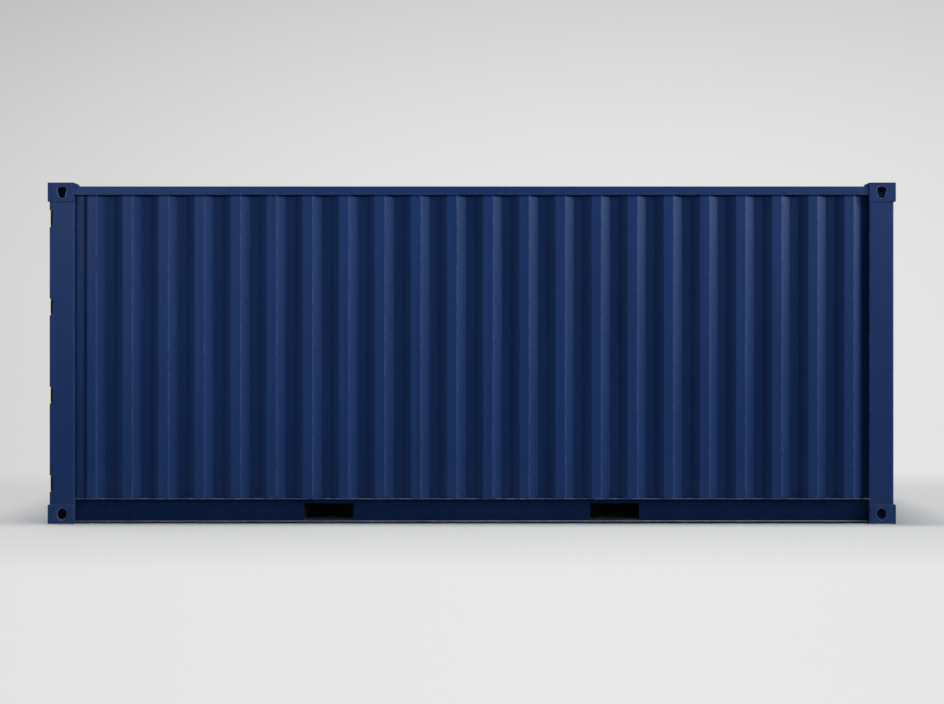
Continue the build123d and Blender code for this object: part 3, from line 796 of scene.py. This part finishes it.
class CONTAINER_OT_underframe(bpy.types.Operator):
    """Coats the cross members and the fork pockets"""

    bl_idname = "container.underframe"
    bl_label = "Underframe"

    def execute(self, context):
        for node in BEAM_ROWS:
            mesh = clean_copy(node)
            bend_sheet(mesh, THIN_PLATE, context.scene.container.edges.section_bend, 2)
            finish(mesh, node.replace("members", "beams"), "underframe", node)
        finish(rounded_copy("fork_pockets", offset=0.001), "fork_pocket_steel", "underframe", "fork_pockets")
        return {"FINISHED"}


def beam_places():
    """The middle of each cross member's top flange along the container."""
    places = []
    for node in BEAM_ROWS:
        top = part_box(node)[1].z
        mesh = clean_copy(node)
        flanges = faces_where(mesh, lambda normal, at: normal.z > 0.9 and abs(at.z - top) < 0.001)
        places += [face.calc_center_median().x for face in flanges]
        mesh.free()
    return [x for x in sorted(places) if abs(x) < 2.82]


class CONTAINER_OT_floor_panels(bpy.types.Operator):
    """Lays the plywood panels with eased edges and screws them down"""

    bl_idname = "container.floor_panels"
    bl_label = "Floor panels"

    def execute(self, context):
        settings = context.scene.container.fasteners
        finish(rounded_copy("floor", offset=0.0015), "floor_panels", "plywood", "floor")
        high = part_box("floor")[1]
        margin = 0.05
        half = high.y - margin
        row = evenly(margin, half, max(1, round(half / settings.screw_spacing) - 1))
        radius, tip = settings.screw_width / 2, settings.screw_width / 2.4
        screws = bmesh.new()
        for x in beam_places():
            for y in [-y for y in row] + row:
                add_cone(screws, Matrix.Translation((x, y, high.z + 0.0002)), 8, radius, tip, 0.0016)
        finish(screws, "floor_screws", "zinc")
        return {"FINISHED"}


# Doors


class CONTAINER_OT_door_leaves(bpy.types.Operator):
    """Bends the sheets and frames of the door leaves"""

    bl_idname = "container.door_leaves"
    bl_label = "Door leaves"

    def execute(self, context):
        edges = context.scene.container.edges
        for side in SIDES:
            body = f"{side}_door"
            panel = f"{body}_panel"
            mesh = clean_copy(panel)
            bend_sheet(mesh, SHEET, edges.sheet_bend * 0.6, edges.bend_steps)
            # Painted shade in the valleys of the corrugation
            mark_valley_shade(mesh, Vector((-1, 0, 0)), WAVE_DEPTH)
            paint_second(mesh, lambda normal, at: normal.x > 0.1)
            finish(mesh, f"{panel}_sheet", "outer inside", panel, body)
            leaf = f"{body}_frame"
            low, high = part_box(panel)
            middle, reach = (low + high) / 2, (high - low) / 2
            seams = [(corner, normal) for normal in ((0, 1, 0), (0, 0, 1)) for corner in (low, high)]
            mesh = clean_copy(leaf, seams)
            bend_sheet(mesh, DOOR_TUBE, radius=0.002, segments=3, hollow_too=False)
            cut(mesh, middle, (1, 0, 0))

            def looks_in(normal, at):
                away = at - middle
                within = reach.y - abs(away.y) > -0.02 and reach.z - abs(away.z) > -0.02
                return normal.x > 0.5 or (within and away.x > 0 and abs(normal.x) < 0.3)

            paint_second(mesh, looks_in)
            finish(mesh, f"{leaf}_steel", "outer inside", leaf, body)
        return {"FINISHED"}


def ring(low, high, spacing):
    """Places all round the flat web between two corners."""
    rows = evenly(low.z, high.z, round((high.z - low.z) / spacing))
    columns = evenly(low.y, high.y, round((high.y - low.y) / spacing))[1:-1]
    return [(y, z) for z in rows for y in (low.y, high.y)] + [(y, z) for y in columns for z in (low.z, high.z)]


class CONTAINER_OT_door_seals(bpy.types.Operator):
    """Rounds the rubber seals and rivets them to the leaves"""

    bl_idname = "container.door_seals"
    bl_label = "Door seals"

    def execute(self, context):
        spacing = context.scene.container.fasteners.rivet_spacing
        for side in SIDES:
            body = f"{side}_door"
            node = f"{body}_gasket"
            finish(rounded_copy(node, offset=0.002, segments=3), f"{side}_door_seal", "rubber", node, body)
            low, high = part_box(node)
            inset = Vector((0, RIVET_INSET, RIVET_INSET))
            rivets = bmesh.new()
            for place in ring(low + inset, high - inset, spacing):
                where = Matrix.Translation((low.x + SEAL_WEB, *place)) @ Matrix.Diagonal((0.5, 1, 1, 1))
                bmesh.ops.create_uvsphere(rivets, u_segments=8, v_segments=5, radius=RIVET_RADIUS, matrix=where)
            finish(rivets, f"{side}_seal_rivets", "zinc", body=body)
        return {"FINISHED"}


def bolt_blades(side, blades, settings):
    """Two bolts through each blade into the stile."""
    low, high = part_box(blades)
    face_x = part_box(f"{side}_door_frame")[0].x - 0.010
    outer = max(abs(low.y), abs(high.y))
    bolts = bmesh.new()
    for level in piece_levels(blades):
        for reach in BLADE_BOLTS:
            place = (face_x, SIDES[side] * (outer - reach), level)
            add_bolt(bolts, place, settings.bolt_width, settings.bolt_height)
    finish(bolts, f"{side}_hinge_bolts", "casting", body=f"{side}_door")


def piece_levels(node, gap=0.2):
    """The middle heights of a node's solids, which stand a gap apart."""
    heights = sorted(vert.co.z for vert in NODES[node].data.vertices)
    levels, foot = [], heights[0]
    for height, above in zip(heights, [*heights[1:], math.inf]):
        if above - height > gap:
            levels.append((foot + height) / 2)
            foot = above
    return levels


class CONTAINER_OT_hinges(bpy.types.Operator):
    """Rounds the hinge knuckles and lugs, and bolts the blades to the leaves"""

    bl_idname = "container.hinges"
    bl_label = "Hinges"

    def execute(self, context):
        settings = context.scene.container
        knuckle_shade_x = CAD_LOW.x + PIN_INSET + KNUCKLE_RADIUS
        for side in SIDES:
            blades = f"{side}_door_hinges"
            lugs = f"{side}_hinge_lugs"
            for node, name, body in ((blades, "hinge_blades", f"{side}_door"), (lugs, "post_lugs", HOME)):
                mesh = clean_copy(node)
                corners = [edge for edge in sharp_edges(mesh, 38, 52) if upright_share(edge) > 0.99]
                round_edges(mesh, corners, KNUCKLE_CORNER, 4)
                round_edges(mesh, sharp_edges(mesh, 50), settings.edges.gear_edge, 2)
                # The knuckles by the door end get the dark underframe coating: painted shade for the knuckle deep in
                # the post's notch
                paint_second(mesh, lambda normal, at: at.x < knuckle_shade_x)
                finish(mesh, f"{side}_{name}", "casting underframe", node, body)
            bolt_blades(side, blades, settings.fasteners)
        return {"FINISHED"}


def bolt_guides(side, brackets):
    """A bolt through each foot of each guide."""
    mesh = clean_copy(brackets)
    foot_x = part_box(f"{side}_door_frame")[0].x - GUIDE_PLATE
    feet = faces_where(mesh, lambda normal, at: normal.x < -0.9 and abs(at.x - foot_x) < 0.0006)
    bolts = bmesh.new()
    for face in feet:
        if face.calc_area() < 0.0009:
            add_bolt(bolts, face.calc_center_median(), 0.010, 0.004)
    mesh.free()
    finish(bolts, f"{side}_guide_bolts", "zinc", body=f"{side}_door")


class CONTAINER_OT_locking_gear(bpy.types.Operator):
    """Finishes the locking bars, their brackets and the keepers in zinc"""

    bl_idname = "container.locking_gear"
    bl_label = "Locking gear"

    def execute(self, context):
        edges = context.scene.container.edges
        for side in SIDES:
            body = f"{side}_door"
            bars = f"{body}_locking_bars"
            finish(rounded_copy(bars, edges.gear_edge), f"{side}_lock_rods", "zinc", bars, body)
            brackets = f"{body}_bar_brackets"
            mesh = clean_copy(brackets)
            bend_sheet(mesh, GUIDE_PLATE, radius=0.004, segments=3)
            finish(mesh, f"{side}_rod_guides", "zinc", brackets, body)
            bolt_guides(side, brackets)
        for node in ("sill_keepers", "header_keepers"):
            finish(rounded_copy(node, offset=0.002), node.replace("keepers", "cam_cups"), "zinc", node)
        return {"FINISHED"}


# Welds and lashing rings


def sides_of(node, side):
    """A node's box, and where its outer and its inner side lie."""
    low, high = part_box(node)
    return (low, high, low.y, high.y) if side == "right" else (low, high, high.y, low.y)


def add_beads(name, runs, radius):
    """A round bead along each run of points."""
    curve = bpy.data.curves.new(name, "CURVE")
    curve.dimensions = "3D"
    curve.bevel_depth = radius
    curve.bevel_resolution = 1
    for run in runs:
        spline = curve.splines.new("POLY")
        spline.points.add(len(run) - 1)
        for point, place in zip(spline.points, run):
            point.co = (*place, 1)
    holder = new_object(name, curve)
    depsgraph = bpy.context.evaluated_depsgraph_get()
    mesh = bmesh.new()
    mesh.from_mesh(bpy.data.meshes.new_from_object(holder.evaluated_get(depsgraph)))
    bpy.data.objects.remove(holder)
    bmesh.ops.holes_fill(mesh, edges=[edge for edge in mesh.edges if edge.is_boundary], sides=0)
    mesh.loops.layers.float.new("rubbed_edge")
    # The beads at the top of the posts get the dark underframe coating: a painted shadow under the overhang of the top
    # castings
    paint_second(mesh, lambda normal, at: at.z > CAD_HIGH.z / 2 and "post" in name)
    finish(mesh, name, "casting underframe")


class CONTAINER_OT_welds(bpy.types.Operator):
    """Runs weld beads round the joints of castings, posts and rails"""

    bl_idname = "container.welds"
    bl_label = "Welds"

    def execute(self, context):
        radius = context.scene.container.fasteners.weld_radius
        for end in ("rear", "front"):
            for side in SIDES:
                post = f"{end}_{side}_post"
                low, high, face_y, back_y = sides_of(post, side)
                web_x = low.x + POST_WEB
                runs = []
                for z in (low.z + 0.0005, high.z - 0.0005):
                    across = [(low.x, face_y, z), (high.x, face_y, z)]
                    if end == "rear":
                        runs += [across, [(web_x, face_y, z), (web_x, back_y, z)]]
                    else:
                        runs.append([*across, (high.x, back_y, z)])
                add_beads(f"{post}_welds", runs, radius)
        for side in SIDES:
            for level in ("top", "bottom"):
                rail = f"{side}_{level}_rail"
                low, high, face_y, back_y = sides_of(rail, side)
                corners = (face_y, low.z), (face_y, high.z - 0.025)
                if level == "bottom":
                    corners = (face_y, high.z), (back_y, high.z), (back_y, low.z), (face_y, low.z)
                add_beads(f"{rail}_welds", [[(x, *corner) for corner in corners] for x in (low.x, high.x)], radius)
        return {"FINISHED"}


def add_ring(mesh, x, y, z):
    """One ring on edge against the wall, in its welded eye."""
    where = Matrix.Translation((x + RING_RADIUS, y, z + RING_RADIUS))
    section = bmesh.ops.create_circle(mesh, segments=8, radius=RING_BAR, matrix=where)["verts"]
    geometry = section + list({edge for vert in section for edge in vert.link_edges})
    centre = (x, y, z + RING_RADIUS)
    bmesh.ops.spin(mesh, geom=geometry, cent=centre, axis=(0, 1, 0), angle=math.tau, steps=20, use_merge=True)
    where = Matrix.Translation((x, y, z + 0.002)) @ Matrix.Diagonal((0.022, 0.024, 0.016, 1))
    bmesh.ops.create_cube(mesh, size=1.0, matrix=where)


class CONTAINER_OT_lashing_rings(bpy.types.Operator):
    """Hangs lashing rings on the bottom rails inside the cargo space"""

    bl_idname = "container.lashing_rings"
    bl_label = "Lashing rings"

    def execute(self, context):
        number_along = context.scene.container.fasteners.ring_count
        low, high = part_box("floor")
        for side, sign in SIDES.items():
            rings = bmesh.new()
            for number in range(number_along):
                x = low.x + (high.x - low.x) * (number + 0.5) / number_along
                add_ring(rings, x, sign * (CAD_HIGH.y - 0.070), high.z + 0.004)
            finish(rings, f"{side}_lashing_rings", "zinc")
        return {"FINISHED"}


# Studio


def side_dimming(tree, way):
    """How much the background dims away from its brightest direction."""
    aside = maths(tree, "POWER", maths(tree, "SUBTRACT", along(tree, way, "X"), 0.10), 2.0)
    return maths(tree, "MINIMUM", times(tree, aside, 1.1), 0.2)


def seen_rays(tree):
    """1 for what the camera sees, also in a mirror or through glass."""
    ray = add_node(tree, "LightPath").outputs
    seen = maths(tree, "MAXIMUM", ray["Is Camera Ray"], ray["Is Glossy Ray"])
    return maths(tree, "MAXIMUM", seen, ray["Is Transmission Ray"])


def mix_to_output(tree, output, part, first, second):
    """Shows a mix of two shaders."""
    mix = add_node(tree, "MixShader", {0: part, 1: first.outputs[0], 2: second.outputs[0]})
    tree.links.new(mix.outputs[0], tree.nodes[output].inputs["Surface"])


def add_camera(scene, settings):
    """A level camera where the photograph's one stood."""
    data = bpy.data.cameras.new("photo_camera")
    data.sensor_width = 36
    data.lens = PHOTO_SCALE * 1000 * settings.camera_distance / PHOTO_WIDTH * data.sensor_width
    data.clip_end = 500
    camera = new_object("photo_camera", data)
    aside = (PHOTO_WIDTH / 2 - PHOTO_MIDDLE) / (PHOTO_SCALE * 1000)
    camera.location = (aside, CAD_LOW.y - settings.camera_distance, settings.camera_height)
    camera.rotation_euler = (math.radians(90), 0, 0)
    scene.camera = camera


def add_floor(settings):
    """A wide floor that keeps the shadow and melts into the background."""
    mesh = bmesh.new()
    bmesh.ops.create_grid(mesh, x_segments=1, y_segments=1, size=90)
    data = bpy.data.meshes.new("studio_floor")
    mesh.to_mesh(data)
    mesh.free()
    floor = new_object("studio_floor", data)
    floor.location = (0, 0, CAD_LOW.z)
    pale = settings.floor_colour
    material, tree, shader = new_material("Studio floor", Roughness=0.85, Base_Color=(pale, pale, pale, 1))
    place = object_place(tree)
    outside = []
    for axis, half, weight in (("X", CAD_HIGH.x, 0.36), ("Y", CAD_HIGH.y, 1.0)):
        away = maths(tree, "SUBTRACT", maths(tree, "ABSOLUTE", along(tree, place, axis)), half)
        away = times(tree, maths(tree, "MAXIMUM", away, 0.0), weight)
        outside.append(maths(tree, "POWER", away, 2.0))
    distance = maths(tree, "SQRT", total(tree, *outside))
    near = spread(tree, distance, 0.0, 0.22, 0.0, 0.66)
    far = total(tree, near, spread(tree, distance, 0.2, 2.4, 0.0, 0.34))
    front = (0, CAD_LOW.y - settings.camera_distance, settings.camera_height)
    from_front = add_node(tree, "VectorMath", {0: place, 1: front}, operation="SUBTRACT").outputs[0]
    way = add_node(tree, "VectorMath", {0: from_front}, operation="NORMALIZE").outputs[0]
    beside = spread(tree, maths(tree, "ABSOLUTE", along(tree, place, "X")), 9, 24)
    behind = maths(tree, "MAXIMUM", spread(tree, along(tree, place, "Y"), -4, 3, 0.25), beside)
    dim = times(tree, side_dimming(tree, way), behind)
    strength = times(tree, maths(tree, "SUBTRACT", 1.0, dim), settings.background)
    glow = add_node(tree, "Emission", {"Color": WHITE, "Strength": strength})
    mix_to_output(tree, "Material Output", times(tree, far, seen_rays(tree)), shader, glow)
    data.materials.append(material)


def light_room(scene, settings):
    """An even room light, shown as a pale background."""
    world = bpy.data.worlds.new("studio_room")
    scene.world = world
    world.use_nodes = True
    tree = world.node_tree
    room = tree.nodes["Background"]
    room.inputs["Color"].default_value = (0.90, 0.95, 1.0, 1)
    room.inputs["Strength"].default_value = settings.sky_strength
    way = add_node(tree, "TexCoord").outputs["Generated"]
    rise = times(tree, maths(tree, "POWER", along(tree, way, "Z"), 2.3), 6.4)
    shade = maths(tree, "SUBTRACT", 1.0, maths(tree, "MINIMUM", rise, 0.4))
    shade = maths(tree, "SUBTRACT", shade, side_dimming(tree, way))
    strength = times(tree, shade, settings.background)
    pale = add_node(tree, "Background", {"Color": WHITE, "Strength": strength})
    mix_to_output(tree, "World Output", seen_rays(tree), room, pale)


class CONTAINER_OT_studio(bpy.types.Operator):
    """Sets up the camera, the lamps, the floor and the background"""

    bl_idname = "container.studio"
    bl_label = "Studio"

    def execute(self, context):
        settings = context.scene.container.studio
        context.scene.view_settings.view_transform = "Standard"
        add_camera(context.scene, settings)
        add_floor(settings)
        light_room(context.scene, settings)
        for name, (where, watts, place, target, size, degrees) in LAMPS.items():
            data = bpy.data.lights.new(f"{name}_lamp", "AREA")
            data.shape = "RECTANGLE"
            data.size, data.size_y = size
            data.energy = getattr(settings, f"{name}_power")
            data.spread = math.radians(degrees)
            if name == "key":
                data.color = (0.88, 0.98, 1.0)
            lamp = new_object(f"{name}_lamp", data)
            lamp.visible_camera = False
            lamp.location = place
            lamp.rotation_euler = (Vector(target) - Vector(place)).to_track_quat("-Z", "Y").to_euler()
        return {"FINISHED"}


OPERATORS = (
    CONTAINER_OT_wall_sheets, CONTAINER_OT_roof, CONTAINER_OT_frame_members, CONTAINER_OT_castings,
    CONTAINER_OT_underframe, CONTAINER_OT_floor_panels, CONTAINER_OT_door_leaves, CONTAINER_OT_door_seals,
    CONTAINER_OT_hinges, CONTAINER_OT_locking_gear, CONTAINER_OT_welds, CONTAINER_OT_lashing_rings,
    CONTAINER_OT_studio,
)


class CONTAINER_PT_sidebar(bpy.types.Panel):
    """The container's pieces and their values"""

    bl_idname = "CONTAINER_PT_sidebar"
    bl_label = "Freight container"
    bl_space_type = "VIEW_3D"
    bl_region_type = "UI"
    bl_category = "Container"

    def draw(self, context):
        settings = context.scene.container
        for part in ContainerSettings.__annotations__:
            group = getattr(settings, part)
            box = self.layout.box()
            box.label(text=settings.bl_rna.properties[part].name)
            for name in type(group).__annotations__:
                box.prop(group, name)
        for operator in OPERATORS:
            self.layout.operator(operator.bl_idname)


CLASSES = (
    PaintSettings, PlainFinishSettings, EdgeSettings, FastenerSettings, StudioSettings, ContainerSettings,
    *OPERATORS, CONTAINER_PT_sidebar,
)


def register():
    """Registers the classes and the scene's settings."""
    for cls in CLASSES:
        bpy.utils.register_class(cls)
    bpy.types.Scene.container = settings_of(ContainerSettings, "Container", "The container's looks")


def unregister():
    """Takes away what register added."""
    del bpy.types.Scene.container
    for cls in reversed(CLASSES):
        bpy.utils.unregister_class(cls)


def main():
    """Builds every piece in order."""
    register()
    FINISHES.update(make_materials())
    for operator in OPERATORS:
        if getattr(bpy.ops.container, operator.bl_idname.split(".")[1])() != {"FINISHED"}:
            raise RuntimeError(f"{operator.bl_label} didn't finish")


if __name__ == "__main__":
    main()
